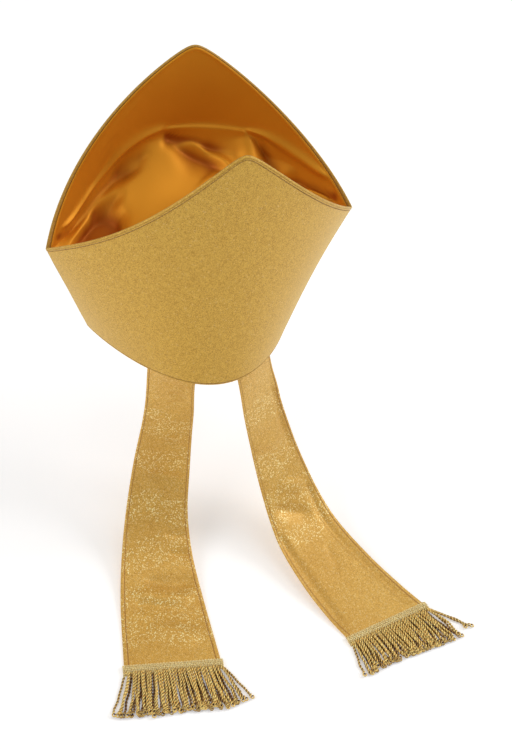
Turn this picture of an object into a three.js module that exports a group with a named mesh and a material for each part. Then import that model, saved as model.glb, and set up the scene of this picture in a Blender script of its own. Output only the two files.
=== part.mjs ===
// Bishop's mitre: two stiff cloth-covered panels joined at the side seams, a loose satin gusset
// between them, and two fringed lappets that hang from the inside of the back rim.
// Millimetres, +Z up, +X to the wearer's right seen from behind, the front panel towards +Y.
// The origin is the centre of the head opening, in the plane of the rim.

import * as THREE from 'three';

// ---- driving dimensions -------------------------------------------------------------------

const SEAM_GAP = 0.3; // between the two panels at the side seams, and between touching pieces
const PANEL_WALL = 2.5; // buckram, interlining and cloth together
const SATIN_WALL = 1.0;
const LAPPET_WALL = 1.6;

// Each panel is one half of the hat: half width and depth at the rim, their growth per
// millimetre of height, the height of its peak and the bend of its upper edge.
const HALF_WIDTH = 102.7;
const WIDTH_FLARE = 0.41;
const SHOULDER_HEIGHT = 107.7;
const BACK = { side: -1, depth: 97.1, flare: -0.15, peak: 241.5, bow: -0.28, lift: 0.07 };
const FRONT = { side: 1, depth: 98.7, flare: -0.07, peak: 248, bow: -0.17, lift: 0.05 };
const ROUNDNESS_RIM = 1.75; // 1 is an ellipse, 2 a pair of parabolas that meet in a corner
const ROUNDNESS_GROWTH = 0.0026;
const PEAK_ROUNDING = 0.04;
const SEAM_SLOPE = 1.25; // how much thicker a wall is along X where the two panels meet

const SATIN_CLEARANCE = 0.6; // between the satin and the inside of the panels
const SATIN_HEM = 5; // the satin stops this far below the panels' upper edge
const SATIN_LIMIT = 80; // degrees from the middle, where the satin ends short of the corner
const SATIN_WALL_SHARE = 1 / 8; // of the satin's length, over each panel; the rest is floor
const FLOOR_STEEPNESS = 2.3; // how sharply the satin turns from its walls to its floor

// Where the satin leaves each panel and turns into the floor of the valley, and how low the
// floor lies. The angle is that of the panel's section: 0 in the middle, 90 at a side seam.
const SATIN_LINE = [
  { angle: -90, back: 104, floor: 103, front: 105 },
  { angle: -56, back: 106, floor: 99, front: 104 },
  { angle: -33, back: 122, floor: 104, front: 123 },
  { angle: -9, back: 138, floor: 112, front: 149 },
  { angle: 20, back: 138, floor: 112, front: 149 },
  { angle: 40, back: 120, floor: 106, front: 126 },
  { angle: 60, back: 108, floor: 102, front: 113 },
  { angle: 90, back: 104, floor: 103, front: 105 },
];

// Main folds of the satin: a ridge, or a hollow where the rise is negative, along a straight
// run from one plan position to another.
const SATIN_FOLDS = [
  { fromX: 6, fromY: 74, toX: 60, toY: 66, width: 10, rise: 5 },
  { fromX: 16, fromY: 60, toX: 28, toY: 26, width: 12, rise: 6 },
  { fromX: -62, fromY: 52, toX: -36, toY: 60, width: 12, rise: -6 },
  { fromX: -92, fromY: 22, toX: -72, toY: 12, width: 14, rise: -6 },
  { fromX: 80, fromY: 40, toX: 112, toY: 14, width: 10, rise: 4 },
];

// Middle line of each lappet below the rim, its width, and the turn of its width about Z.
const LAPPETS = {
  lappet_left: [
    { x: -43, y: -79, z: 0, width: 46, turn: -36 },
    { x: -39, y: -73, z: -70, width: 48, turn: -24 },
    { x: -41, y: -79, z: -134, width: 56, turn: -18 },
    { x: -49, y: -103, z: -177, width: 62, turn: -13 },
    { x: -57, y: -138, z: -201, width: 71, turn: -10 },
    { x: -65, y: -185, z: -211, width: 82, turn: -10 },
    { x: -75, y: -251, z: -213, width: 93, turn: -10 },
  ],
  lappet_right: [
    { x: 35, y: -82, z: 0, width: 46, turn: 29 },
    { x: 56, y: -86, z: -75, width: 50, turn: 26 },
    { x: 81, y: -109, z: -153, width: 61, turn: 22 },
    { x: 96, y: -148, z: -189, width: 71, turn: 18 },
    { x: 114, y: -195, z: -203, width: 81, turn: 14 },
    { x: 132, y: -234, z: -210, width: 89, turn: 11 },
    { x: 145, y: -259, z: -213, width: 93, turn: 11 },
  ],
};
const TUCK_HEIGHT = 14; // how far a lappet's top reaches up inside the back panel
const TUCK_CLEARANCE = 1.0; // between a lappet and the inside of the panel
const TUCK_BLEND = 60; // length over which it loses the rim's curve

const BRAID_LENGTH = 10;
const BRAID_THICKNESS = 2.4;
const FRINGE_LENGTH = 41;
const FRINGE_THICKNESS = 4.2;
const FRINGE_SPLAY = { fringe_left: [14, 20], fringe_right: [8, 18] }; // beyond each end
const REST_HEIGHT = -213.8; // underside of the lappets' lower ends

// ---- materials ----------------------------------------------------------------------------

function cloth(color, roughness, metalness) {
  return new THREE.MeshStandardMaterial({ color, roughness, metalness });
}

const goldCrepe = cloth(0xc29b55, 0.5, 0.45);
const goldSatin = cloth(0xb06a14, 0.35, 0.1);
const lappetLame = cloth(0xcf9c45, 0.45, 0.5);
const braidThread = cloth(0xbda062, 0.6, 0.3);
const bullionCord = cloth(0xa8854a, 0.5, 0.35);

// ---- small helpers ------------------------------------------------------------------------

const radians = THREE.MathUtils.degToRad;
const smooth = (value, low, high) => THREE.MathUtils.smoothstep(value, low, high);
const mix = THREE.MathUtils.lerp;

// Value of one column of a table at a key, with a smooth curve through its rows.
function tableValue(table, keyColumn, key, column) {
  let row = 0;
  while (row < table.length - 2 && key > table[row + 1][keyColumn]) {
    row += 1;
  }
  const at = (index) => table[THREE.MathUtils.clamp(index, 0, table.length - 1)];
  const slope = (index) => {
    const span = at(index + 1)[keyColumn] - at(index - 1)[keyColumn];
    return (at(index + 1)[column] - at(index - 1)[column]) / span;
  };
  const span = at(row + 1)[keyColumn] - at(row)[keyColumn];
  const t = THREE.MathUtils.clamp((key - at(row)[keyColumn]) / span, 0, 1);
  const a = at(row)[column];
  const b = at(row + 1)[column];
  const startSlope = slope(row) * span;
  const endSlope = slope(row + 1) * span;
  const t2 = t * t;
  const t3 = t2 * t;
  return (2 * t3 - 3 * t2 + 1) * a + (t3 - 2 * t2 + t) * startSlope
    + (3 * t2 - 2 * t3) * b + (t3 - t2) * endSlope;
}

// A closed wall between two grids of points, outer and inner, that share rows and columns.
// outer(u, v) and inner(u, v) give points for u and v from 0 to 1.
function wallGeometry(outer, inner, columns, rows) {
  const positions = [];
  const indices = [];
  const grid = (columns + 1) * (rows + 1);
  for (const face of [outer, inner]) {
    for (let j = 0; j <= rows; j += 1) {
      for (let i = 0; i <= columns; i += 1) {
        positions.push(...face(i / columns, j / rows).toArray());
      }
    }
  }
  const quad = (a, b, c, d) => indices.push(a, b, c, a, c, d);
  const id = (layer, i, j) => layer * grid + j * (columns + 1) + i;
  for (let j = 0; j < rows; j += 1) {
    for (let i = 0; i < columns; i += 1) {
      quad(id(0, i, j), id(0, i + 1, j), id(0, i + 1, j + 1), id(0, i, j + 1));
      quad(id(1, i, j), id(1, i, j + 1), id(1, i + 1, j + 1), id(1, i + 1, j));
    }
  }
  for (let i = 0; i < columns; i += 1) {
    quad(id(1, i, 0), id(1, i + 1, 0), id(0, i + 1, 0), id(0, i, 0));
    quad(id(0, i, rows), id(0, i + 1, rows), id(1, i + 1, rows), id(1, i, rows));
  }
  for (let j = 0; j < rows; j += 1) {
    quad(id(0, 0, j), id(0, 0, j + 1), id(1, 0, j + 1), id(1, 0, j));
    quad(id(1, columns, j), id(1, columns, j + 1), id(0, columns, j + 1), id(0, columns, j));
  }
  const geometry = new THREE.BufferGeometry();
  geometry.setAttribute('position', new THREE.Float32BufferAttribute(positions, 3));
  geometry.setIndex(indices);
  return outwardFacing(geometry);
}

// Turns the faces round where the solid's signed volume says that they point in.
function outwardFacing(geometry) {
  const position = geometry.getAttribute('position');
  const index = geometry.getIndex();
  const corner = [new THREE.Vector3(), new THREE.Vector3(), new THREE.Vector3()];
  let volume = 0;
  for (let i = 0; i < index.count; i += 3) {
    corner.forEach((point, k) => point.fromBufferAttribute(position, index.getX(i + k)));
    volume += corner[0].dot(corner[1].clone().cross(corner[2]));
  }
  if (volume < 0) {
    for (let i = 0; i < index.count; i += 3) {
      const second = index.getX(i + 1);
      index.setX(i + 1, index.getX(i + 2));
      index.setX(i + 2, second);
    }
  }
  geometry.computeVertexNormals();
  return geometry;
}

function piece(name, geometry, material) {
  const mesh = new THREE.Mesh(geometry, material);
  mesh.name = name;
  return mesh;
}

// ---- the shape of a panel -----------------------------------------------------------------

// Point of a panel at a section angle and height, a given depth inside its outer face.
function panelPoint(panel, angle, z, inset) {
  const halfWidth = HALF_WIDTH + WIDTH_FLARE * z - inset * SEAM_SLOPE;
  const depth = panel.depth + panel.flare * z - inset;
  const power = ROUNDNESS_RIM + ROUNDNESS_GROWTH * z;
  const rise = Math.max(Math.cos(radians(angle)), 0) ** power;
  const y = panel.side * (SEAM_GAP / 2 + depth * rise);
  return new THREE.Vector3(halfWidth * Math.sin(radians(angle)), y, z);
}

// Height of a panel's upper edge: a pointed arch from the shoulders to a rounded peak.
function edgeHeight(panel, angle) {
  const r = PEAK_ROUNDING;
  const across = Math.abs(Math.sin(radians(angle)));
  const v = (Math.hypot(across, r) - r) / (Math.hypot(1, r) - r);
  const straight = 1 - panel.bow - panel.lift;
  const arch = straight * (1 - v) + panel.bow * (1 - v * v) + panel.lift * (1 - v ** 6);
  return SHOULDER_HEIGHT + (panel.peak - SHOULDER_HEIGHT) * arch;
}

function panelGeometry(panel) {
  const face = (inset) => (u, v) => {
    const angle = mix(-90, 90, u);
    return panelPoint(panel, angle, edgeHeight(panel, angle) * v, inset);
  };
  return wallGeometry(face(0), face(PANEL_WALL), 36, 10);
}

// ---- the satin gusset ---------------------------------------------------------------------

// Distance from a plan position to a fold's run, in fold widths.
function foldDistance(fold, x, y) {
  const run = new THREE.Vector2(fold.toX - fold.fromX, fold.toY - fold.fromY);
  const offset = new THREE.Vector2(x - fold.fromX, y - fold.fromY);
  const along = THREE.MathUtils.clamp(offset.dot(run) / run.lengthSq(), 0, 1);
  return offset.sub(run.multiplyScalar(along)).length() / fold.width;
}

function foldRise(x, y) {
  return SATIN_FOLDS.reduce((sum, fold) => {
    return sum + fold.rise * Math.exp(-(foldDistance(fold, x, y) ** 2));
  }, 0);
}

// Point of the satin at a section angle and a position across the valley, from 0 at the back
// panel's edge to 1 at the front panel's. Its first and last share cover the two panels.
function satinPoint(angle, across, depth) {
  const inset = PANEL_WALL + SATIN_CLEARANCE + depth;
  const line = (column) => tableValue(SATIN_LINE, 'angle', angle, column);
  const share = SATIN_WALL_SHARE;
  if (across <= share) {
    const top = edgeHeight(BACK, angle) - SATIN_HEM;
    return panelPoint(BACK, angle, mix(top, line('back'), across / share), inset);
  }
  if (across >= 1 - share) {
    const top = edgeHeight(FRONT, angle) - SATIN_HEM;
    const climb = (across - 1 + share) / share;
    return panelPoint(FRONT, angle, mix(line('front'), top, climb), inset);
  }
  const w = (across - 0.5) / (0.5 - share);
  const from = panelPoint(BACK, angle, line('back'), inset);
  const to = panelPoint(FRONT, angle, line('front'), inset);
  const wallHeight = w < 0 ? from.z : to.z;
  const height = mix(line('floor'), wallHeight, Math.abs(w) ** FLOOR_STEEPNESS);
  const x = panelPoint(FRONT, angle, height, inset).x;
  const y = mix(from.y, to.y, (w + 1) / 2);
  const edgeFade = 1 - smooth(Math.abs(w), 0.8, 1);
  const fade = edgeFade * (1 - smooth(Math.abs(angle), 55, 75));
  return new THREE.Vector3(x, y, height + foldRise(x, y) * fade + depth * edgeFade);
}

function gussetGeometry() {
  const face = (depth) => (u, v) => satinPoint(mix(-SATIN_LIMIT, SATIN_LIMIT, u), v, depth);
  return wallGeometry(face(0), face(SATIN_WALL), 32, 24);
}

// ---- the lappets --------------------------------------------------------------------------

// Rows of a lappet's table with the length along its middle line added to each.
function measuredRows(rows) {
  let length = 0;
  return rows.map((row, index) => {
    if (index > 0) {
      const last = rows[index - 1];
      length += Math.hypot(row.x - last.x, row.y - last.y, row.z - last.z);
    }
    return { ...row, length };
  });
}

// Middle of the lappet's cloth at a length below the rim and a place from -1 to 1 across it.
function lappetMiddle(rows, length, across) {
  const value = (column) => tableValue(rows, 'length', Math.max(length, 0), column);
  const turn = radians(value('turn'));
  const reach = across * value('width') / 2;
  const flat = new THREE.Vector3(value('x'), value('y'), value('z'));
  flat.add(new THREE.Vector3(Math.cos(turn), Math.sin(turn), 0).multiplyScalar(reach));
  if (length >= TUCK_BLEND) {
    return flat;
  }
  const top = rows[0];
  const topX = top.x + across * (top.width / 2) * Math.cos(radians(top.turn));
  const inset = PANEL_WALL + TUCK_CLEARANCE + LAPPET_WALL / 2;
  const height = Math.max(-length, 0);
  const inner = HALF_WIDTH + WIDTH_FLARE * height - inset * SEAM_SLOPE;
  const angle = THREE.MathUtils.radToDeg(Math.asin(topX / inner));
  const tucked = panelPoint(BACK, angle, height, inset);
  if (length > 0) {
    tucked.add(new THREE.Vector3(value('x') - top.x, value('y') - top.y, value('z') - top.z));
  }
  return tucked.lerp(flat, smooth(length, 0, TUCK_BLEND));
}

// A strip along the lappet's line, between two lengths and of a given thickness.
function stripGeometry(middle, from, to, thickness, columns, rows) {
  const point = (u, v) => middle(mix(from, to, v), mix(-1, 1, u));
  const normal = (u, v) => {
    const step = 0.02;
    const acrossRun = point(u + step, v).sub(point(u - step, v));
    const alongRun = point(u, v + step).sub(point(u, v - step));
    return acrossRun.cross(alongRun).normalize();
  };
  const face = (shift) => (u, v) => point(u, v).add(normal(u, v).multiplyScalar(shift));
  return wallGeometry(face(-thickness / 2), face(thickness / 2), columns, rows);
}

function lappetGeometry(rows) {
  const middle = (length, across) => lappetMiddle(rows, length, across);
  const end = rows[rows.length - 1].length;
  return stripGeometry(middle, -TUCK_HEIGHT, end, LAPPET_WALL, 6, 32);
}

// The fringe goes straight on from the end of the lappet, flat on what the lappet rests on.
function fringePoint(rows, beyond, across, splay, lift) {
  const last = rows[rows.length - 1];
  const turn = radians(last.turn);
  const side = across < 0 ? splay[0] : splay[1];
  const spread = side * smooth(beyond, 0, FRINGE_LENGTH + BRAID_LENGTH) * Math.abs(across);
  const reach = across * last.width / 2 + Math.sign(across) * spread;
  const alongRun = new THREE.Vector3(Math.sin(turn), -Math.cos(turn), 0);
  const acrossRun = new THREE.Vector3(Math.cos(turn), Math.sin(turn), 0);
  const point = new THREE.Vector3(last.x, last.y, REST_HEIGHT + lift);
  return point.addScaledVector(alongRun, beyond).addScaledVector(acrossRun, reach);
}

function braidGeometry(rows) {
  const face = (lift) => (u, v) => {
    const beyond = SEAM_GAP + v * BRAID_LENGTH;
    return fringePoint(rows, beyond, mix(-1.01, 1.01, u), [0, 0], lift);
  };
  return wallGeometry(face(0), face(BRAID_THICKNESS), 8, 1);
}

function fringeGeometry(rows, splay) {
  const face = (lift) => (u, v) => {
    const beyond = 2 * SEAM_GAP + BRAID_LENGTH + v * FRINGE_LENGTH;
    return fringePoint(rows, beyond, mix(-1, 1, u), splay, lift);
  };
  return wallGeometry(face(0), face(FRINGE_THICKNESS), 10, 4);
}

// ---- assembly -----------------------------------------------------------------------------

const mitre = new THREE.Group();
mitre.name = 'bishop_mitre';
mitre.add(piece('back_panel', panelGeometry(BACK), goldCrepe));
mitre.add(piece('front_panel', panelGeometry(FRONT), goldCrepe));
mitre.add(piece('gusset', gussetGeometry(), goldSatin));

for (const side of ['left', 'right']) {
  const rows = measuredRows(LAPPETS[`lappet_${side}`]);
  mitre.add(piece(`lappet_${side}`, lappetGeometry(rows), lappetLame));
  mitre.add(piece(`fringe_braid_${side}`, braidGeometry(rows), braidThread));
  const fringe = fringeGeometry(rows, FRINGE_SPLAY[`fringe_${side}`]);
  mitre.add(piece(`fringe_${side}`, fringe, bullionCord));
}

export default mitre;
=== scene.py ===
import math

import bpy
import numpy as np
from mathutils import Matrix, Vector


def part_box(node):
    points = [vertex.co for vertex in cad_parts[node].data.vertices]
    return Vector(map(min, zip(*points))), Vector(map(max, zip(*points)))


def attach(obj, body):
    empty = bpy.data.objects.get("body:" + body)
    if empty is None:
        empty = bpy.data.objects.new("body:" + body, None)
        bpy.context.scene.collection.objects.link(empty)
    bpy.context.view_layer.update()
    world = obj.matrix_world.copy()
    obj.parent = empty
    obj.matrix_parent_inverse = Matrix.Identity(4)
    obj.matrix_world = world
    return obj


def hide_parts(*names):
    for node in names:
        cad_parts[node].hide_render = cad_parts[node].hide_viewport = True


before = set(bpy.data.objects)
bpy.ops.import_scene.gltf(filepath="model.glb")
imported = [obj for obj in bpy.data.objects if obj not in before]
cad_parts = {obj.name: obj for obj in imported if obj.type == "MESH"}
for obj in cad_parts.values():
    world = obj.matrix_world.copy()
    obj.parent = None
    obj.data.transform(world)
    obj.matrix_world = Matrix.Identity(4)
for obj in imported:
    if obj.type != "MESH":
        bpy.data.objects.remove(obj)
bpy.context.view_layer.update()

# Looks of the bishop's mitre. Shapes are worked out in millimetres and scaled when a mesh is
# made. +Z is up, the back panel with its lappets faces -Y, and the origin is the middle of
# the head opening.

MM = 0.001

# ---- sizes ----

SEAM_GAP = 0.05
PANEL_WALL = 2.5
WIDTH_FLARE = 0.41
SHOULDER_HEIGHT = 107.7
ROUNDNESS_RIM = 1.75
ROUNDNESS_GROWTH = 0.0026
PEAK_ROUNDING = 0.04
SEAM_SLOPE = 1.25

CAD_BACK_LOW, CAD_BACK_HIGH = (np.array(corner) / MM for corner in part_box("back_panel"))
CAD_FRONT_HIGH = np.array(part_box("front_panel")[1]) / MM
HALF_WIDTH = CAD_BACK_HIGH[0] - WIDTH_FLARE * SHOULDER_HEIGHT

BACK = dict(
    side=-1, depth=-CAD_BACK_LOW[1] - SEAM_GAP / 2, flare=-0.15,
    peak=CAD_BACK_HIGH[2], bow=-0.28, lift=0.07,
)
FRONT = dict(
    side=1, depth=CAD_FRONT_HIGH[1] - SEAM_GAP / 2, flare=-0.07,
    peak=CAD_FRONT_HIGH[2], bow=-0.17, lift=0.05,
)

# The tables of the satin, lappets, cords and painted glints come from points marked on the photograph
# and carried through a fitted camera. Some were then moved.

# Satin: how far below the edge it stops, how steeply its floor falls, and its fold lines.
SATIN_HEM = 1.4
SATIN_WALL = 0.8
SATIN_CLEARANCE = 0.15
SATIN_INSET = PANEL_WALL + SATIN_CLEARANCE + SATIN_WALL
SATIN_LIMIT = 88.5
SATIN_WING = 0.2
FLOOR_STEEPNESS = 2.3
SATIN_LINE = dict(
    angle=[-90, -56, -33, -9, 20, 40, 60, 90],
    back=[104, 106, 122, 138, 138, 120, 108, 104],
    floor=[103, 99, 104, 112, 112, 106, 102, 103],
    front=[105, 104, 123, 149, 149, 126, 113, 105],
)

# Middle line of each lappet below the rim, its width, and the turn of its width about Z.
LAPPETS = dict(
    left=dict(
        x=[-43, -39, -41, -49, -57, -65, -75],
        y=[-79, -73, -79, -103, -138, -185, -251],
        z=[0, -70, -134, -177, -201, -211, -213],
        width=[46, 48, 56, 62, 71, 82, 93],
        turn=[-36, -24, -18, -13, -10, -10, -10],
    ),
    right=dict(
        x=[35, 56, 81, 96, 114, 132, 145],
        y=[-82, -86, -109, -148, -195, -234, -259],
        z=[0, -75, -153, -189, -203, -210, -213],
        width=[46, 50, 61, 71, 81, 89, 93],
        turn=[29, 26, 22, 18, 14, 11, 11],
    ),
)
LAPPET_WALL = 1.6
TUCK_HEIGHT = 14
TUCK_CLEARANCE = 1.0
TUCK_BLEND = 60
REST_HEIGHT = -213.8
MEAN_WIDTH = 66
LAPPET_ROWS = 190
HEM_WIDTH = 3.1

STITCH_LENGTH = 2.2
STITCH_PITCH = 3.1
STITCH_RADIUS = 0.24

BRAID_START = -1.8
BRAID_END = 8.6
BRAID_OVERHANG = 1.4
BRAID_TWIST = 3.2
# The braid's twisted cords: places along the lappet and heights over the floor.
BRAID_CORDS = [(-0.4, 2.9), (1.3, 2.9), (3.0, 2.7), (4.7, 2.5), (6.4, 2.2), (7.9, 1.9)]
# The tape under them: places, heights and thicknesses.
BRAID_TAPE = [(BRAID_START, 2.05, 0.25), (1.0, 2.2, 0.6), (4.0, 2.0, 1.2), (BRAID_END, 1.3, 1.0)]

# A fringe's cords lie in two layers and start under the braid.
CORDS_BELOW = 40
CORDS_ABOVE = 34
UPPER_LAYER = 2.4
CORD_TUCK = 3.0
CORD_MARGIN = 1.6
CORD_PITCH = 6.6
CORD_POINTS = 60
STRAND_RADIUS = 0.68

# Where the cords of a fringe end: their place across the heading, from -1 to 1, how far their
# tips lie to the side of it and how far from the lappet's end.
CORD_TIPS = dict(
    left=dict(
        place=[-1, -0.85, -0.4, 0, 0.4, 0.8, 1],
        shift=[-16, -8, -3, 2, 7, 10, 17],
        reach=[49, 50, 50, 49, 48, 48, 43],
    ),
    right=dict(
        place=[-1, -0.85, -0.4, 0, 0.5, 0.85, 1],
        shift=[-8, -2, 3, 6, 7, 9, 15],
        reach=[41, 41, 41, 42, 44, 46, 45],
    ),
)
# Cords that lie apart from the rest: place, shift and reach.
STRAY_CORDS = dict(left=[(1.0, 25, 41)], right=[(0.99, 29, 42), (1.0, 26, 40)])

# ---- small helpers ----


def ease(value, low, high):
    """0 up to low, 1 from high on, smooth between."""
    t = np.clip((value - low) / (high - low), 0, 1)
    return t * t * (3 - 2 * t)


def bump(value, centre, width):
    return np.exp(-(((value - centre) / width) ** 2))


def table_value(table, key, place, column):
    """Value of a column at a place, on a smooth curve through the table's entries."""
    keys = np.array(table[key], float)
    values = np.array(table[column], float)
    last = len(keys) - 1
    after = np.minimum(np.arange(len(keys)) + 1, last)
    before = np.maximum(np.arange(len(keys)) - 1, 0)
    slopes = (values[after] - values[before]) / (keys[after] - keys[before])
    row = np.clip(np.searchsorted(keys, place, side="left") - 1, 0, last - 1)
    span = keys[row + 1] - keys[row]
    t = np.clip((place - keys[row]) / span, 0, 1)
    t2, t3 = t * t, t * t * t
    start = (2 * t3 - 3 * t2 + 1) * values[row] + (t3 - 2 * t2 + t) * slopes[row] * span
    end = (3 * t2 - 2 * t3) * values[row + 1] + (t3 - t2) * slopes[row + 1] * span
    return start + end


def unit(vectors):
    length = np.linalg.norm(vectors, axis=-1, keepdims=True)
    return vectors / np.maximum(length, 1e-12)


def reach_along(line):
    """Length along a line, from its start to each point."""
    steps = np.linalg.norm(np.diff(line, axis=0), axis=1)
    return np.concatenate([[0], np.cumsum(steps)])


def placed(name, data):
    """An object in the scene with its mesh, light or camera."""
    made = bpy.data.objects.new(name, data)
    bpy.context.scene.collection.objects.link(made)
    return made


def new_piece(name, points, faces, material):
    """A mesh object from points in millimetres."""
    mesh = bpy.data.meshes.new(name)
    mesh.from_pydata((points * MM).tolist(), [], faces)
    mesh.update()
    mesh.polygons.foreach_set("use_smooth", [True] * len(mesh.polygons))
    mesh.materials.append(material)
    return placed(name, mesh)


def store_values(piece, name, *values):
    """A number for each point of the mesh, which its material can read."""
    attribute = piece.data.attributes.new(name, "FLOAT", "POINT")
    flat = np.concatenate([part.ravel() for part in values])
    attribute.data.foreach_set("value", flat.astype(np.float32))


def grid_quads(rows, columns, start=0):
    """Faces between the points of a grid stored row by row."""
    index = start + np.arange(rows * columns).reshape(rows, columns)
    corners = [index[:-1, :-1], index[:-1, 1:], index[1:, 1:], index[1:, :-1]]
    return np.stack(corners, -1).reshape(-1, 4)


def outward(points, faces):
    """The faces turned round if the closed solid's signed volume is negative."""
    a, b, c, d = (points[faces[:, k]] for k in range(4))
    volume = np.einsum("ij,ij->i", a, np.cross(b, c)) + np.einsum("ij,ij->i", a, np.cross(c, d))
    return faces if volume.sum() > 0 else faces[:, ::-1]


def wall_mesh(outer, inner):
    """Points and faces of a closed wall between two grids of the same size."""
    rows, columns = outer.shape[:2]
    count = rows * columns
    points = np.concatenate([outer.reshape(-1, 3), inner.reshape(-1, 3)])
    index = np.arange(count).reshape(rows, columns)
    faces = [grid_quads(rows, columns), grid_quads(rows, columns, count)[:, ::-1]]
    loop = np.concatenate([index[0, :], index[1:, -1], index[-1, -2::-1], index[-2:0:-1, 0]])
    following = np.roll(loop, -1)
    faces.append(np.stack([following, loop, loop + count, following + count], -1))
    return points, outward(points, np.concatenate(faces)).tolist()


def normals(grid):
    across = np.gradient(grid, axis=1)
    along = np.gradient(grid, axis=0)
    return unit(np.cross(across, along))


def tube(path, radius, sides, frame_up=(0, 0, 1)):
    """Points and faces of a round tube along a path, closed at both ends."""
    path = np.asarray(path, float)
    along = unit(np.gradient(path, axis=0))
    side = unit(np.cross(along, np.array(frame_up, float)))
    for index in range(1, len(side)):
        if side[index] @ side[index - 1] < 0:
            side[index] = -side[index]
    up = np.cross(side, along)
    angles = np.arange(sides) * 2 * math.pi / sides
    radius = np.broadcast_to(radius, len(path))[:, None, None]
    cosines, sines = np.cos(angles)[None, :, None], np.sin(angles)[None, :, None]
    ring = cosines * side[:, None] + sines * up[:, None]
    points = (path[:, None] + ring * radius).reshape(-1, 3)
    index = np.arange(len(path) * sides).reshape(len(path), sides)
    following = np.roll(index, -1, axis=1)
    quads = np.stack([index[:-1], following[:-1], following[1:], index[1:]], -1).reshape(-1, 4)
    return points, quads, index[0][::-1], index[-1]


class Bundle:
    """Many tubes gathered into one mesh."""

    def __init__(self):
        self.points = []
        self.faces = []
        self.values = []
        self.count = 0

    def add_tube(self, path, radius, sides, value=0.0, frame_up=(0, 0, 1), core=None):
        """A tube, with painted shade where it faces the core line that it winds about."""
        points, quads, first, last = tube(path, radius, sides, frame_up)
        self.points.append(points)
        values = np.repeat(np.broadcast_to(value, len(path)), sides)
        if core is not None:
            inwards = unit(np.repeat(core - path, sides, axis=0))
            facing = (unit(points - np.repeat(path, sides, axis=0)) * inwards).sum(-1)
            values = np.clip(values + 0.95 * ease(facing, -0.45, 0.45), 0, 1)
        self.values.append(values)
        self.faces += (quads + self.count).tolist()
        self.faces += [(first + self.count).tolist(), (last + self.count).tolist()]
        self.count += len(points)

    def add_faces(self, points, quads, value):
        self.points.append(points)
        self.values.append(np.full(len(points), value))
        self.faces += (np.array(quads) + self.count).tolist()
        self.count += len(points)

    def piece(self, name, material):
        made = new_piece(name, np.concatenate(self.points), self.faces, material)
        store_values(made, "shade", *self.values)
        return made


# ---- materials ----


WHITE = (1, 1, 1, 1)


def rgb(red, green, blue):
    """A display colour of 0 to 255 as the linear colour that the shader takes."""
    values = np.array([red, green, blue]) / 255
    low = values / 12.92
    high = ((values + 0.055) / 1.055) ** 2.4
    return (*np.where(values < 0.04045, low, high).tolist(), 1.0)


def set_inputs(node, values):
    for name, value in values.items():
        node.inputs[name].default_value = value


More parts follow.
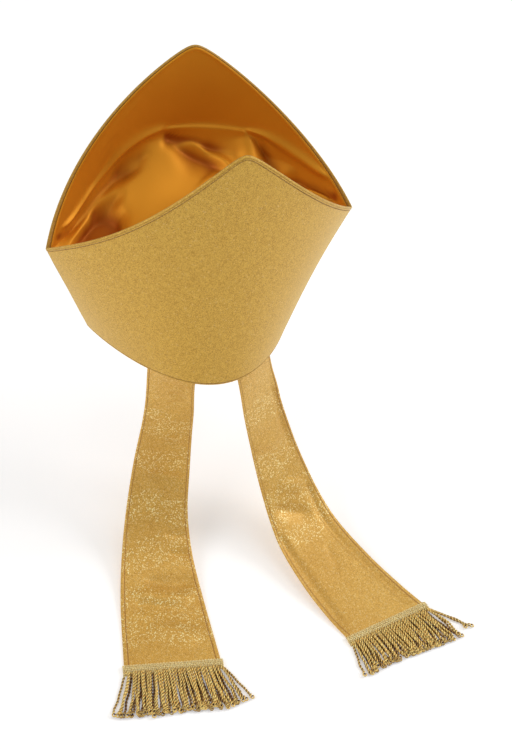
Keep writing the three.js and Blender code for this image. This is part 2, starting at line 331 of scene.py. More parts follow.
class Finish:
    """A material with its nodes, built one call at a time."""

    def __init__(self, name, roughness, metallic=0.0, sheen=0.0, specular=0.5, tint=None):
        self.material = bpy.data.materials.new(name)
        self.material.use_nodes = True
        self.tree = self.material.node_tree
        self.shader = self.tree.nodes["Principled BSDF"]
        gloss = {"Roughness": roughness, "Metallic": metallic, "Specular IOR Level": specular}
        set_inputs(self.shader, gloss)
        if sheen:
            nap = {"Sheen Weight": sheen, "Sheen Roughness": 0.45, "Sheen Tint": tint}
            set_inputs(self.shader, nap)
        self.place = self.node("ShaderNodeTexCoord").outputs["Object"]

    def node(self, kind, **settings):
        made = self.tree.nodes.new(kind)
        for key, value in settings.items():
            setattr(made, key, value)
        return made

    def link(self, source, target):
        self.tree.links.new(source, target)

    def stretched(self, scale):
        mapping = self.node("ShaderNodeMapping")
        set_inputs(mapping, {"Scale": scale})
        self.link(self.place, mapping.inputs["Vector"])
        return mapping.outputs["Vector"]

    def noise(self, scale, detail=2.0, distortion=0.0, stretch=None):
        made = self.node("ShaderNodeTexNoise")
        set_inputs(made, {"Scale": scale, "Detail": detail, "Distortion": distortion})
        self.link(self.stretched(stretch) if stretch else self.place, made.inputs["Vector"])
        return made.outputs["Fac"]

    def cells(self, scale):
        made = self.node("ShaderNodeTexVoronoi")
        set_inputs(made, {"Scale": scale})
        self.link(self.place, made.inputs["Vector"])
        return made.outputs["Color"]

    def crinkle(self, scale, stretch=None):
        """Fine winding ridges, as in crepe: 0 along a ridge and 1 between them."""
        wandering = self.noise(scale, 1.5, 1.4, stretch)
        away = self.maths("ABSOLUTE", self.maths("SUBTRACT", wandering, 0.5), 0.0)
        return self.remap(away, 0.0, 0.14)

    def attribute(self, name):
        return self.node("ShaderNodeAttribute", attribute_name=name).outputs["Fac"]

    def remap(self, source, low, high, to_low=0.0, to_high=1.0):
        made = self.node("ShaderNodeMapRange")
        set_inputs(made, {"From Min": low, "From Max": high, "To Min": to_low, "To Max": to_high})
        self.link(source, made.inputs["Value"])
        return made.outputs["Result"]

    def maths(self, operation, a, b):
        made = self.node("ShaderNodeMath", operation=operation)
        for index, value in enumerate((a, b)):
            if isinstance(value, (int, float)):
                made.inputs[index].default_value = value
            else:
                self.link(value, made.inputs[index])
        return made.outputs["Value"]

    def ramp(self, source, stops):
        made = self.node("ShaderNodeValToRGB")
        band = made.color_ramp
        band.elements[0].position, band.elements[0].color = stops[0]
        band.elements[1].position, band.elements[1].color = stops[-1]
        for position, colour in stops[1:-1]:
            band.elements.new(position).color = colour
        self.link(source, made.inputs["Fac"])
        return made.outputs["Color"]

    def mix(self, share, a, b):
        made = self.node("ShaderNodeMix", data_type="RGBA")
        factor, first, second = made.inputs[0], made.inputs[6], made.inputs[7]
        for socket, value in ((factor, share), (first, a), (second, b)):
            if isinstance(value, (int, float, tuple)):
                socket.default_value = value
            else:
                self.link(value, socket)
        return made.outputs[2]

    def colour(self, source):
        self.link(source, self.shader.inputs["Base Color"])

    def relief(self, *layers):
        """Bump layers, each a height, a strength and a depth in millimetres."""
        normal = None
        for height, strength, depth in layers:
            made = self.node("ShaderNodeBump")
            set_inputs(made, {"Strength": strength, "Distance": depth * MM})
            self.link(height, made.inputs["Height"])
            if normal is not None:
                self.link(normal, made.inputs["Normal"])
            normal = made.outputs["Normal"]
        self.link(normal, self.shader.inputs["Normal"])


def crinkled_cloth(name, sheen, tint, scale, stretch, shades):
    """Metallic cloth with a fine crinkle: its finish and its grain's colour."""
    finish = Finish(name, 0.5, metallic=0.3, sheen=sheen, tint=tint)
    crinkle = finish.crinkle(scale, stretch)
    fine = finish.noise(1700)
    ridges = finish.remap(crinkle, 0, 1, -0.1, 0.45)
    grain = finish.maths("ADD", ridges, finish.remap(fine, 0.3, 0.7, -0.1, 0.5))
    finish.relief((crinkle, -0.4, 0.3), (fine, 0.25, 0.1))
    return finish, finish.ramp(grain, list(zip((0.15, 0.4, 0.75), shades)))


def crepe_material():
    """Panels: crinkled metallic crepe with painted glints, and a seam value that darkens stitched
    grooves and paints shade along the edge.
    """
    shades = (rgb(220, 177, 74), rgb(198, 153, 50), rgb(169, 122, 30))
    tint = rgb(255, 228, 160)
    finish, colour = crinkled_cloth("gold_crepe", 0.6, tint, 720, (1, 1, 0.75), shades)
    streaks = finish.remap(finish.noise(120, stretch=(1, 1, 9)), 0.35, 0.65, 0.0, 0.08)
    colour = finish.mix(streaks, colour, rgb(184, 138, 52))
    # Painted glints: a few cells turn bright.
    glint = finish.remap(finish.cells(1000), 0.86, 0.9, 0.0, 0.3)
    colour = finish.mix(glint, colour, rgb(236, 210, 146))
    # The seam value darkens stitched grooves and also paints shade along the top and the inside of the
    # edge.
    finish.colour(finish.mix(finish.attribute("seam"), colour, rgb(120, 72, 26)))
    return finish.material


def satin_material():
    """Glossy cloth with a broad golden reflection, and painted shade of a deeper red down in its
    folds.
    """
    finish = Finish("gold_satin", 0.52, metallic=0.5, specular=0.25)
    clouds = finish.noise(14)
    weave = finish.noise(1500, 1.0, 0.0, (1, 0.25, 1))
    colour = finish.ramp(clouds, [(0.3, rgb(214, 143, 32)), (0.7, rgb(220, 150, 36))])
    # Painted shade: the colour turns a deeper red where the cloth lies in a fold.
    painted_fold_shade = finish.maths("MULTIPLY", finish.attribute("painted_fold_shade"), 0.75)
    finish.colour(finish.mix(painted_fold_shade, colour, rgb(150, 56, 4)))
    finish.relief((weave, 0.1, 0.05))
    return finish.material


def lame_material():
    """Lappets: the same kind of cloth, with painted glints that gather in soft bands."""
    shades = (rgb(234, 190, 96), rgb(210, 163, 72), rgb(177, 128, 42))
    tint = rgb(255, 224, 150)
    finish, colour = crinkled_cloth("lappet_lame", 0.3, tint, 820, None, shades)
    clouds = finish.remap(finish.noise(16), 0.35, 0.65, 0.0, 0.3)
    colour = finish.mix(clouds, colour, rgb(196, 142, 54))
    # Painted glints: a few cells turn bright, most of them in the bands stored on the lappets.
    band = finish.maths("MULTIPLY", finish.attribute("painted_glints"), finish.noise(70))
    glint = finish.remap(finish.cells(1150), 0.74, 0.78, 0.0, 0.9)
    glint = finish.maths("MULTIPLY", glint, finish.remap(band, 0.12, 0.5, 0.3, 1.0))
    colour = finish.mix(glint, colour, rgb(255, 240, 176))
    finish.colour(finish.mix(finish.attribute("seam"), colour, rgb(146, 84, 26)))
    return finish.material


def thread_material(name, dark, middle, light, roughness, metallic):
    """Metallic thread with painted highlights in its speckle, and painted shade where its shade value
    is high.
    """
    finish = Finish(name, roughness, metallic=metallic)
    speckle = finish.noise(1500, 2.0, 0.5)
    fine = finish.noise(3600, 1.0)
    # The speckle is the thread's grain, and its pale flecks are painted highlights.
    colour = finish.ramp(speckle, [(0.43, middle), (0.51, light)])
    # Painted shade: the shade value mixes in the dark colour.
    finish.colour(finish.mix(finish.attribute("shade"), colour, dark))
    finish.relief((speckle, 0.5, 0.2), (fine, 0.3, 0.08))
    return finish.material


def floor_material():
    finish = Finish("studio_floor", 0.9)
    set_inputs(finish.shader, {"Emission Color": WHITE, "Emission Strength": 0.3})
    greys = [(0.3, (0.9, 0.9, 0.9, 1)), (0.7, (0.92, 0.92, 0.92, 1))]
    finish.colour(finish.ramp(finish.noise(3), greys))
    return finish.material


# ---- the panels ----


def half_width_at(z, inset):
    return HALF_WIDTH + WIDTH_FLARE * z - inset * SEAM_SLOPE


def panel_point(panel, angle, z, inset):
    """Point of a panel at a section angle and height, a depth inside its outer face."""
    turn = np.radians(angle)
    half_width = half_width_at(z, inset)
    depth = panel["depth"] + panel["flare"] * z - inset
    power = ROUNDNESS_RIM + ROUNDNESS_GROWTH * z
    rise = np.maximum(np.cos(turn), 0) ** power
    y = panel["side"] * (SEAM_GAP / 2 + depth * rise)
    return np.stack(np.broadcast_arrays(half_width * np.sin(turn), y, z), -1)


def edge_height(panel, angle):
    r = PEAK_ROUNDING
    across = np.abs(np.sin(np.radians(angle)))
    v = (np.hypot(across, r) - r) / (math.hypot(1, r) - r)
    bow, lift = panel["bow"], panel["lift"]
    arch = (1 - bow - lift) * (1 - v) + bow * (1 - v * v) + lift * (1 - v**6)
    return SHOULDER_HEIGHT + (panel["peak"] - SHOULDER_HEIGHT) * arch


def edge_steepness(panel, angle):
    """Drop in height for each millimetre measured square to the upper edge."""
    step = 0.05
    before, after = np.maximum(angle - step, -90), np.minimum(angle + step, 90)
    a = panel_point(panel, before, edge_height(panel, before), 0)
    b = panel_point(panel, after, edge_height(panel, after), 0)
    run = np.hypot(b[..., 0] - a[..., 0], b[..., 1] - a[..., 1])
    return np.minimum(np.hypot(1, (b[..., 2] - a[..., 2]) / run), 1.9)


def panel_angles():
    """Section angles of the mesh's columns, closer together at the seams and the peak."""
    parts = [
        np.linspace(-90, -86, 9),
        np.linspace(-86, -6, 76),
        np.linspace(-6, 6, 25),
        np.linspace(6, 86, 76),
        np.linspace(86, 90, 9),
    ]
    return np.unique(np.concatenate(parts).round(6))


def rounded_edge(distance):
    """Inset of a wall's face near its edge, as a half circle of the wall's thickness."""
    radius = PANEL_WALL / 2
    near = np.clip(radius - distance, 0, radius)
    return radius - np.sqrt(radius**2 - near**2)


EDGE_STEPS = np.array([
    0.02, 0.08, 0.2, 0.4, 0.65, 0.9, 1.15, 1.4, 1.65, 1.85, 2.05, 2.3, 2.55, 2.8,
    3.05, 3.25, 3.45, 3.65, 3.9, 4.2, 4.6, 5.0, 5.4, 6.0,
])
EDGE_BAND = EDGE_STEPS[-1]
BODY_ROWS = 44
EDGE_GROOVE = 3.35
RIM_GROOVE = 2.1
CORNER_SEAM = 0.6
# Painted shade along the very top of the edge, by panel side: front, back.
CROWN_SHADE = {1: 0.3, -1: 0.0}


def edge_relief(distance):
    """Two cords of the rolled edge and the stitched groove under them."""
    return (
        0.22 * bump(distance, 0.95, 0.5)
        - 0.34 * bump(distance, 1.75, 0.26)
        + 0.24 * bump(distance, 2.5, 0.42)
        - 0.5 * bump(distance, EDGE_GROOVE, 0.3)
    )


def rim_relief(distance):
    return 0.12 * bump(distance, 0.9, 0.6) - 0.4 * bump(distance, RIM_GROOVE, 0.32)


def panel_face(panel, angles, inside):
    """Grid of points over one face of a panel, from the rim to the upper edge, and seam values with
    painted shade along the edge.
    """
    top = edge_height(panel, angles)
    steep = edge_steepness(panel, angles)
    outward_relief = 1 if inside else -1
    rows, seams_and_shade = [], []
    start = PANEL_WALL if inside else 0.0

    def add(z, inset, seam):
        rows.append(panel_point(panel, angles, z, inset))
        seams_and_shade.append(np.broadcast_to(seam, angles.shape))

    for distance in EDGE_STEPS:
        inset = abs(start - rounded_edge(distance)) + outward_relief * rim_relief(distance)
        add(np.full_like(angles, distance), inset, 0.75 * bump(distance, RIM_GROOVE, 0.35))
    high = top - EDGE_BAND * steep
    wave = 0.35 * np.sin(np.radians(angles) * 5 + 0.6) * outward_relief
    for share in np.linspace(0, 1, BODY_ROWS + 2)[1:-1]:
        z = EDGE_BAND + (high - EDGE_BAND) * share
        fade = ease(share, 0, 0.15) * (1 - ease(share, 0.85, 1))
        ripple = wave * np.sin(z / 31 + panel["side"]) * fade
        add(z, start + ripple * 0.8, 0.0)
    for distance in EDGE_STEPS[::-1]:
        relief = edge_relief(distance)
        if inside:
            relief = -0.35 * bump(distance, 1.5, 0.3)
        inset = abs(start - rounded_edge(distance)) + outward_relief * relief
        seam = 0.85 * bump(distance, EDGE_GROOVE, 0.33) + 0.5 * bump(distance, 1.75, 0.22)
        seam = np.maximum(seam, CROWN_SHADE[panel["side"]] * (1 - ease(distance, 0.5, 0.9)))
        # On the inside the whole edge band is darker: painted shade.
        if inside:
            seam = 0.3 + 0.2 * ease(distance, 0.6, 1.2)
        add(top - distance * steep, inset, seam)
    grid = np.stack(rows)
    seam = np.stack(seams_and_shade)
    side_seam = bump(90 - np.abs(angles), 0, 0.8)
    grid[..., 0] += np.sign(angles) * side_seam * CORNER_SEAM * outward_relief
    return grid, np.maximum(seam, side_seam[None] * CORNER_SEAM)


def make_panel(node, panel, material):
    angles = panel_angles()
    outer, outer_seam_and_shade = panel_face(panel, angles, False)
    inner, inner_seam_and_shade = panel_face(panel, angles, True)
    piece = new_piece(f"{node}_cloth", *wall_mesh(outer, inner), material)
    store_values(piece, "seam", outer_seam_and_shade, inner_seam_and_shade)
    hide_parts(node)
    return piece


def edge_line(panel, distance, inset):
    """A line that follows a panel's upper edge at a distance below it."""
    angles = np.linspace(-88, 88, 1200)
    z = edge_height(panel, angles) - distance * edge_steepness(panel, angles)
    return panel_point(panel, angles, z, inset)


def rim_line(panel, distance, inset):
    angles = np.linspace(-89, 89, 1000)
    return panel_point(panel, angles, np.full_like(angles, distance), inset)


def add_stitches(bundle, line):
    """A row of short threads along a line, each a small tube with thin ends."""
    reach = reach_along(line)
    for start in np.arange(STITCH_PITCH / 2, reach[-1] - STITCH_LENGTH, STITCH_PITCH):
        places = start + np.linspace(0, STITCH_LENGTH, 5)
        path = np.stack([np.interp(places, reach, line[:, k]) for k in range(3)], -1)
        thickness = STITCH_RADIUS * np.array([0.35, 0.9, 1, 0.9, 0.35])
        along = path[-1] - path[0]
        up = (0, 0, 1) if abs(along[2]) < 0.8 * np.linalg.norm(along) else (0, 1, 0)
        bundle.add_tube(path, thickness, 6, 0.0, up)


def make_stitches(name, lines, material, parent):
    bundle = Bundle()
    for line in lines:
        add_stitches(bundle, line)
    bundle.piece(name, material).parent = parent


# ---- the satin ----


def fold(run, rise, left, right, fade=(0.25, 0.25)):
    """A fold along a run of points: its rise, its width on each side, its fade at each end."""
    return dict(run=run, rise=rise, left=left, right=right, fade=fade)


# Folds of the satin. Their runs are points in the cloth: x across the hat, and depth measured
# over the cloth from the front panel's fold line, positive towards the back. A fold with a
# negative rise sinks.
SATIN_FOLDS = [
    # the rolled fold along the left fold line, and the drop under it
    fold([(-134, -9), (-118, -4), (-105, -1), (-88, 0), (-76, -2), (-62, -6), (-46, -5), (-28, -4),
          (-12, -4)], 5, 6.5, 8, (0.08, 0.1)),
    fold([(-138, -10), (-129, -6), (-118, 0), (-107, 4), (-97, 6), (-84, 6), (-71, 8), (-60, 12),
          (-48, 17), (-34, 22)], -7, 7, 5.5, (0.08, 0.25)),
    fold([(-76, 3), (-64, 4), (-52, 7), (-42, 11), (-30, 15)], -4.5, 6, 6, (0.3, 0.3)),
    # the soft band and the deep pocket in the left corner
    fold([(-99, 12), (-90, 15), (-81, 19), (-73, 24), (-60, 32)], -5.5, 7, 6, (0.2, 0.4)),
    fold([(-128, 14), (-108, 18), (-92, 23), (-82, 32), (-76, 43), (-77, 54), (-82, 70)],
         -15, 34, 7.5, (0.3, 0.22)),
    # the two ridges under the peak, each with a drop in front of it
    fold([(-20, -4), (0, 1), (17, 3), (41, 3), (62, 0)], 5, 3.5, 6, (0.1, 0.1)),
    fold([(-20, -2), (-10, 3), (7, 10), (25, 15), (46, 19)], -8, 14, 4.6, (0.15, 0.35)),
    fold([(14, 14), (30, 17), (46, 20), (56, 28)], -3, 12, 9),
    fold([(-6, 9), (6, 12), (16, 17), (26, 23), (34, 30), (40, 38), (44, 48)],
         4.5, 4.5, 6, (0.25, 0.2)),
    fold([(-14, 10), (-2, 17), (10, 24), (20, 29), (29, 36), (34, 47)], -7.5, 18, 5.5, (0.5, 0.3)),
    # the bright swell behind the back panel's peak and the hollow beside it
    fold([(60, -9), (60, 4), (61, 20), (63, 38)], 4, 11, 11, (0.4, 0.2)),
    fold([(70, -6), (77, 3), (84, 10), (93, 18), (105, 28)], -7.5, 13, 10, (0.3, 0.15)),
    # the crest along the right fold line and the crease below it
    fold([(56, -2), (73, -7), (92, -11), (105, -12), (116, -12), (130, -14)], 5, 4, 6, (0.12, 0.15)),
    fold([(92, 14), (102, 8), (110, 4), (118, 1), (126, -1), (137, -5)], -7.5, 5, 4, (0.15, 0.1)),
    fold([(104, 17), (113, 11), (125, 6), (133, 2), (139, -2)], 3, 4, 3),
    fold([(126, 10), (134, 4), (141, -1)], -5, 6, 4),
    # the far side of the valley, which only shows from behind
    fold([(-90, 128), (-50, 112), (-10, 100), (30, 104)], -6, 3.5, 9),
    fold([(-60, 96), (-20, 84), (25, 86), (60, 98)], 3.4, 8, 8),
    fold([(20, 132), (55, 118), (95, 106)], 3.4, 6, 9),
    fold([(-30, 150), (10, 140), (50, 146)], -4, 8, 4),
    # slack waves in the cloth over the front panel
    fold([(30, -92), (60, -62), (84, -44)], 1, 9, 9),
    fold([(56, -88), (82, -60), (104, -38)], -1, 7, 7),
    fold([(-66, -34), (-84, -16), (-100, -6)], -1.4, 7, 9),
    fold([(-40, -60), (-66, -44), (-92, -26)], 0.9, 9, 9),
]


def satin_rows():
    """Places along the satin's grid, closer together where its folds show."""
    hem = np.array([0, 0.005, 0.01, 0.016, 0.023, 0.031, 0.042, 0.06]) * SATIN_WING
    end = 1 - SATIN_WING
    parts = [
        hem,
        np.linspace(0.1, 0.95, 12) * SATIN_WING,
        np.linspace(SATIN_WING, 0.5, 40),
        np.linspace(0.5, end, 98),
        np.linspace(end, end + 0.25 * SATIN_WING, 20),
        end + np.linspace(0.28, 0.9, 16) * SATIN_WING,
        1 - hem,
    ]
    return np.unique(np.concatenate(parts).round(7))


def satin_base(angles, across):
    """Grid of the satin before its folds: over the back panel, the floor, the front panel."""
    angle = angles[None, :]
    share = across[:, None]
    inset = SATIN_INSET
    line = {key: table_value(SATIN_LINE, "angle", angle, key) for key in SATIN_LINE}
    back_top = edge_height(BACK, angle) - SATIN_HEM * edge_steepness(BACK, angle)
    front_top = edge_height(FRONT, angle) - SATIN_HEM * edge_steepness(FRONT, angle)
    line["back"] = np.minimum(line["back"], back_top - 0.5)
    line["front"] = np.minimum(line["front"], front_top - 0.5)
    line["floor"] = np.minimum(line["floor"], np.minimum(line["back"], line["front"]))
    climb_back = np.clip(share / SATIN_WING, 0, 1)
    climb_front = np.clip((share - 1 + SATIN_WING) / SATIN_WING, 0, 1)
    back_z = back_top + (line["back"] - back_top) * climb_back
    front_z = line["front"] + (front_top - line["front"]) * climb_front
    back_wall = panel_point(BACK, angle, back_z, inset)
    front_wall = panel_point(FRONT, angle, front_z, inset)
    w = np.clip((share - 0.5) / (0.5 - SATIN_WING), -1, 1)
    side_height = np.where(w < 0, line["back"], line["front"])
    height = line["floor"] + (side_height - line["floor"]) * np.abs(w) ** FLOOR_STEEPNESS
    start = panel_point(BACK, angle, line["back"], inset)[..., 1]
    end = panel_point(FRONT, angle, line["front"], inset)[..., 1]
    x = panel_point(FRONT, angle, height, inset)[..., 0]
    floor = np.stack(np.broadcast_arrays(x, start + (end - start) * (w + 1) / 2, height), -1)
    on_back = (share < SATIN_WING)[..., None]
    on_front = (share > 1 - SATIN_WING)[..., None]
    return np.where(on_back, back_wall, np.where(on_front, front_wall, floor))


def cloth_depth(grid, across):
    """Length over the cloth from the front panel's fold line, positive towards the back."""
    steps = np.linalg.norm(np.diff(grid, axis=0), axis=-1)
    reach = np.concatenate([np.zeros((1, grid.shape[1])), np.cumsum(steps, axis=0)])
    fold_row = np.searchsorted(across, 1 - SATIN_WING)
    return reach[fold_row][None] - reach


def run_distance(x, depth, run):
    """Distance from each point to a run of points, and how far along the run it falls."""
    best = np.full(x.shape, 1e9)
    place = np.zeros(x.shape)
    signed = np.zeros(x.shape)
    total = sum(math.dist(a, b) for a, b in zip(run, run[1:]))
    passed = 0.0
    for (ax, ad), (bx, bd) in zip(run, run[1:]):
        length = math.dist((ax, ad), (bx, bd))
        ux, ud = (bx - ax) / length, (bd - ad) / length
        along = np.clip((x - ax) * ux + (depth - ad) * ud, 0, length)
        dx, dd = x - ax - ux * along, depth - ad - ud * along
        distance = np.hypot(dx, dd)
        nearer = distance < best
        best = np.where(nearer, distance, best)
        signed = np.where(nearer, np.sign(ux * dd - ud * dx) * distance, signed)
        place = np.where(nearer, (passed + along) / total, place)
        passed += length
    return best, signed, place


def smooth_run(run):
    """More points on a smooth curve through a run's points."""
    run = np.array(run, float)
    keys = reach_along(run)
    table = dict(key=keys, x=run[:, 0], y=run[:, 1])
    places = np.linspace(0, keys[-1], 24)
    x, y = (table_value(table, "key", places, column).tolist() for column in "xy")
    return list(zip(x, y))


def fold_relief(x, depth, folds):
    """Height that the folds add at each place in the cloth."""
    total = np.zeros(x.shape)
    for each in folds:
        distance, signed, place = run_distance(x, depth, smooth_run(each["run"]))
        start, end = each["fade"]
        taper = ease(place, 0, start) * (1 - ease(place, 1 - end, 1))
        opening = ease(place, 0, 0.5)
        left = each["left"] * (0.6 + 0.4 * opening)
        right = each["right"] * (0.4 + 0.6 * opening)
        width = np.where(signed > 0, left, right)
        width = width * (1 - 0.3 * ease(place, 0.7, 1))
        total += each["rise"] * np.exp(-((distance / width) ** 2)) * taper
    return total


def kept_between_panels(grid):
    """The satin's points, moved off the panels wherever a fold would go through them."""
    inset = SATIN_INSET
    grid = grid.copy()
    for panel in (BACK, FRONT):
        z = grid[..., 2]
        across = np.clip(grid[..., 0] / half_width_at(z, inset), -1, 1)
        angle = np.degrees(np.arcsin(across))
        limit = panel_point(panel, angle, z, inset)[..., 1]
        keep = np.minimum if panel["side"] > 0 else np.maximum
        grid[..., 1] = keep(grid[..., 1], limit)
    return grid


def softened(grid, weight, rounds):
    """The grid's rows drawn towards their neighbours, most where the weight is high."""
    grid = grid.copy()
    for _ in range(rounds):
        middle = (grid[:-2] + grid[2:]) / 2
        grid[1:-1] += (middle - grid[1:-1]) * 0.5 * weight[1:-1, :, None]
    return grid


def softened_both_ways(grid, weight, rounds):
    """The grid drawn towards its neighbours along its rows and across them in turn."""
    for _ in range(rounds):
        grid = softened(grid, weight, 1)
        grid = softened(grid.transpose(1, 0, 2), weight.T, 1).transpose(1, 0, 2)
    return grid


def fold_direction(depth):
    """The way that folds rise: out of the wall on the front panel, upwards on the floor."""
    turn = np.radians(12 + 63 * ease(depth, -12, 8))
    return np.stack([np.zeros_like(turn), -np.cos(turn), np.sin(turn)], -1)


def make_gusset(material):
    reach = math.sin(math.radians(SATIN_LIMIT))
    angles = np.degrees(np.arcsin(np.linspace(-reach, reach, 236)))
    across = satin_rows()
    grid = satin_base(angles, across)
    depth = cloth_depth(grid, across)
    grid = softened(grid, bump(depth, 0, 7), 9)
    relief = fold_relief(grid[..., 0], depth, SATIN_FOLDS)
    relief += 0.3 * np.sin(grid[..., 0] / 9 + depth / 23) * np.sin(depth / 11 - grid[..., 0] / 37)
    from_edge = np.minimum(across, 1 - across)[:, None] / SATIN_WING
    fade = 1 - ease(np.abs(angles), 79, 87)[None]
    relief = relief * fade * ease(from_edge, 0.04, 0.2)
    grid = grid + fold_direction(depth) * relief[..., None]
    on_floor = ease(depth, -14, -4) * (1 - ease(np.abs(angles), 82, 86))[None]
    for rounds in (3, 2):
        grid = kept_between_panels(softened_both_ways(grid, on_floor * 0.7, rounds))
    normal = normals(grid)
    if normal[len(across) // 2, :, 2].mean() < 0:
        normal = -normal
    from_hem = np.minimum(depth - depth[-1:], depth[:1] - depth)
    hem = 0.6 * bump(from_hem, 1.5, 1.1) * fade
    top = grid + normal * hem[..., None]
    under = grid - normal * SATIN_WALL
    piece = new_piece("gusset_satin", *wall_mesh(top, under), material)
    # Painted shade for the satin: how far the cloth lies below the cloth around it.
    around = softened_both_ways(relief[..., None], np.ones(relief.shape), 30)
    painted_fold_shade = ease(0.95 * (around[..., 0] - relief) - 0.3 * relief, 0.2, 5.5)
    store_values(piece, "painted_fold_shade", painted_fold_shade, painted_fold_shade)
    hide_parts("gusset")
    return piece


# ---- the lappets ----

# Creases of the lappets, as runs of points: across the lappet and length below the rim.
LAPPET_FOLDS = dict(
    left=[
        fold([(-12, 14), (4, 14), (20, 18)], -1, 3, 4),
        fold([(-4, 26), (8, 29), (20, 33)], -1, 3, 4),
        fold([(-4, 44), (8, 40), (21, 36)], -0.8, 3, 4),
        fold([(-24, 60), (-4, 66), (16, 64)], 0.8, 6, 6),
        fold([(-4, 99), (12, 103), (26, 107)], -1, 5, 6),
        fold([(-14, 142), (8, 147), (28, 148)], -1.2, 6, 7),
        fold([(-28, 176), (0, 182), (29, 186)], 1, 10, 10),
        fold([(6, 204), (20, 207), (34, 208)], -0.8, 4, 5),
        fold([(10, 224), (22, 227), (35, 227)], -0.8, 3, 4),
        fold([(-18, 249), (4, 256), (22, 257), (38, 252)], -1.5, 6, 8),
        fold([(-34, 262), (-8, 268), (16, 272), (36, 270)], 1.1, 6, 6),
        fold([(-34, 274), (-13, 280), (6, 286), (28, 297), (41, 302)], -1.6, 7, 7),
        fold([(-20, 300), (6, 308), (34, 320)], 1.2, 9, 9),
    ],
    right=[
        fold([(13, 28), (18, 60), (18, 90), (19, 122), (21, 152)], -1.3, 2.6, 6),
        fold([(23, 20), (24, 60), (24, 100), (26, 140)], 0.6, 4, 4),
        fold([(23, 172), (24, 193), (23, 212), (24, 232), (26, 252), (29, 270), (31, 292), (33, 314),
              (35, 340)], -1.5, 2.4, 4.5, (0.1, 0.1)),
        fold([(-24, 184), (-3, 199), (16, 210)], -1.3, 7, 7),
        fold([(-12, 164), (4, 172), (18, 182)], 0.9, 8, 8),
        fold([(-29, 205), (-29, 237), (-31, 270), (-34, 300), (-39, 338)], -1.6, 7, 4.5, (0.15, 0.08)),
        fold([(10, 240), (6, 256), (2, 276)], -0.7, 3.5, 4),
        fold([(-26, 100), (-6, 112), (12, 118)], 0.8, 9, 9),
    ],
)
# Multiplies the rises above.
CREASE_HEIGHT = 1.9

# Lengths below the rim between which a lappet's cloth gets the most painted glints.
PAINTED_GLINT_BANDS = dict(
    left=[(60, 96), (112, 138), (166, 194), (208, 240), (261, 280), (286, 322)],
    right=[(52, 84), (118, 150), (165, 203), (206, 230)],
)


def measured(table):
    """A lappet's table with the length along its middle line at each station."""
    return dict(table, length=reach_along(np.stack([table["x"], table["y"], table["z"]], -1)))


def lappet_middle(table, length, across):
    """Grid of the middle of the cloth for lengths below the rim and places across it."""
    length, across = np.meshgrid(length, across, indexing="ij")
    value = {
        key: table_value(table, "length", np.maximum(length, 0), key)
        for key in ("x", "y", "z", "width", "turn")
    }
    turn = np.radians(value["turn"])
    reach = across * value["width"] / 2
    flat_x = value["x"] + np.cos(turn) * reach
    flat_y = value["y"] + np.sin(turn) * reach
    flat = np.stack([flat_x, flat_y, value["z"]], -1)
    top = {key: column[0] for key, column in table.items()}
    top_x = top["x"] + across * top["width"] / 2 * math.cos(math.radians(top["turn"]))
    inset = PANEL_WALL + TUCK_CLEARANCE + LAPPET_WALL / 2
    height = np.maximum(-length, 0)
    angle = np.degrees(np.arcsin(top_x / half_width_at(height, inset)))
    tucked = panel_point(BACK, angle, height, inset)
    moved = np.stack([value[key] - top[key] for key in "xyz"], -1)
    tucked = tucked + np.where((length > 0)[..., None], moved, 0)
    blend = ease(length, 0, TUCK_BLEND)[..., None]
    return tucked * (1 - blend) + flat * blend, value["width"]


def lappet_columns(width):
    """Places across the lappet from -1 to 1, close together over the hems."""
    edge = np.array([
        0.01, 0.06, 0.16, 0.34, 0.6, 0.95, 1.4, 1.9, 2.3, 2.6, 2.85, 3.1, 3.35, 3.6, 4.0, 4.6,
    ])
    inner = np.linspace(edge[-1], width / 2, 14)[1:]
    half = np.concatenate([edge, inner])
    left = -1 + half / (width / 2)
    return np.concatenate([left, -left[-2::-1]])


def painted_glint_values(side, x, reach):
    """How many painted glints the cloth gets, in bands with wavy ends."""
    painted_glints = np.zeros(x.shape)
    for low, high in PAINTED_GLINT_BANDS[side]:
        place = reach + 5 * np.sin(x / 11 + low)
        painted_glints += ease(place, low - 5, low + 3) * (1 - ease(place, high - 3, high + 5))
    return painted_glints


def lappet_thickness(from_side):
    """Half the cloth's thickness, and what the stitched hem adds to it on the outside."""
    half = LAPPET_WALL / 2
    near = np.clip(half - from_side, 0, half)
    thickness = np.sqrt(np.maximum(half**2 - near**2, 0)) + 0.02
    hem = 0.22 * ease(HEM_WIDTH + 0.4 - from_side, 0, 0.8)
    hem = (hem - 0.42 * bump(from_side, HEM_WIDTH, 0.32)) * ease(from_side, 0.3, 1.0)
    return thickness, hem


